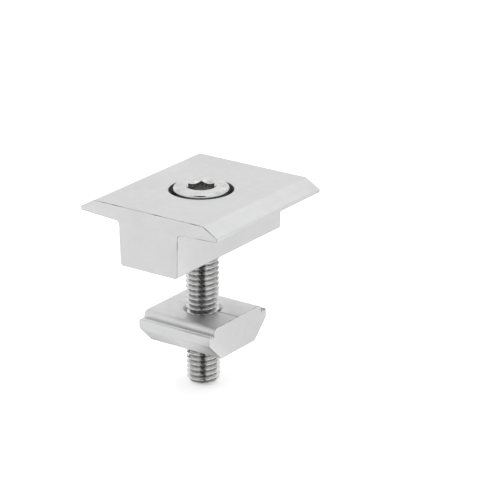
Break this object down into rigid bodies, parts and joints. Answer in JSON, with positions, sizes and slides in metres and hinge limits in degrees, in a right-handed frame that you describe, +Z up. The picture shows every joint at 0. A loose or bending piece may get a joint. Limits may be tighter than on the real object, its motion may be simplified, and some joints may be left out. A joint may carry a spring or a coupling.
{
  "type": "solar panel mid clamp",
  "caption": "T-shaped extruded clamp for the gap between two framed solar panels, with its socket head bolt, spring washer and ridged rail nut.",
  "frame": {"origin": "on the bolt's axis, level with the clamp body's flat top", "axes": "+Z up along the bolt's axis, +X across the gap between the panels towards one flange tip, +Y along the clamp body's extrusion"},
  "size_m": [0.038, 0.04, 0.048],
  "materials": {
    "anodised_aluminium": "clear anodised, satin, with fine lines along the extrusion",
    "stainless_steel": "bright rolled stainless steel",
    "spring_steel": "plain stainless spring steel"
  },
  "bodies": {
    "clamp": {"clamp_body": "anodised_aluminium"},
    "washer": {"spring_washer": "spring_steel"},
    "bolt": {"socket_head_bolt": "stainless_steel"},
    "nut": {"rail_nut": "anodised_aluminium"}
  },
  "joints": [
    {"name": "bolt_lift", "type": "slide", "parent": "clamp", "child": "washer", "axis": [0, 0, 1], "range_m": [0, 0.008]},
    {"name": "bolt_turn", "type": "hinge", "parent": "washer", "child": "bolt", "pos_m": [0, 0, 0], "axis": [0, 0, 1], "range_deg": [-1800, 2700]},
    {"name": "nut_travel", "type": "slide", "parent": "washer", "child": "nut", "axis": [0, 0, 1], "range_m": [-0.0094, 0.0063]}
  ],
  "couplings": [
    {"joint": "nut_travel", "follows": "bolt_turn", "m_per_rad": -0.00019894}
  ]
}
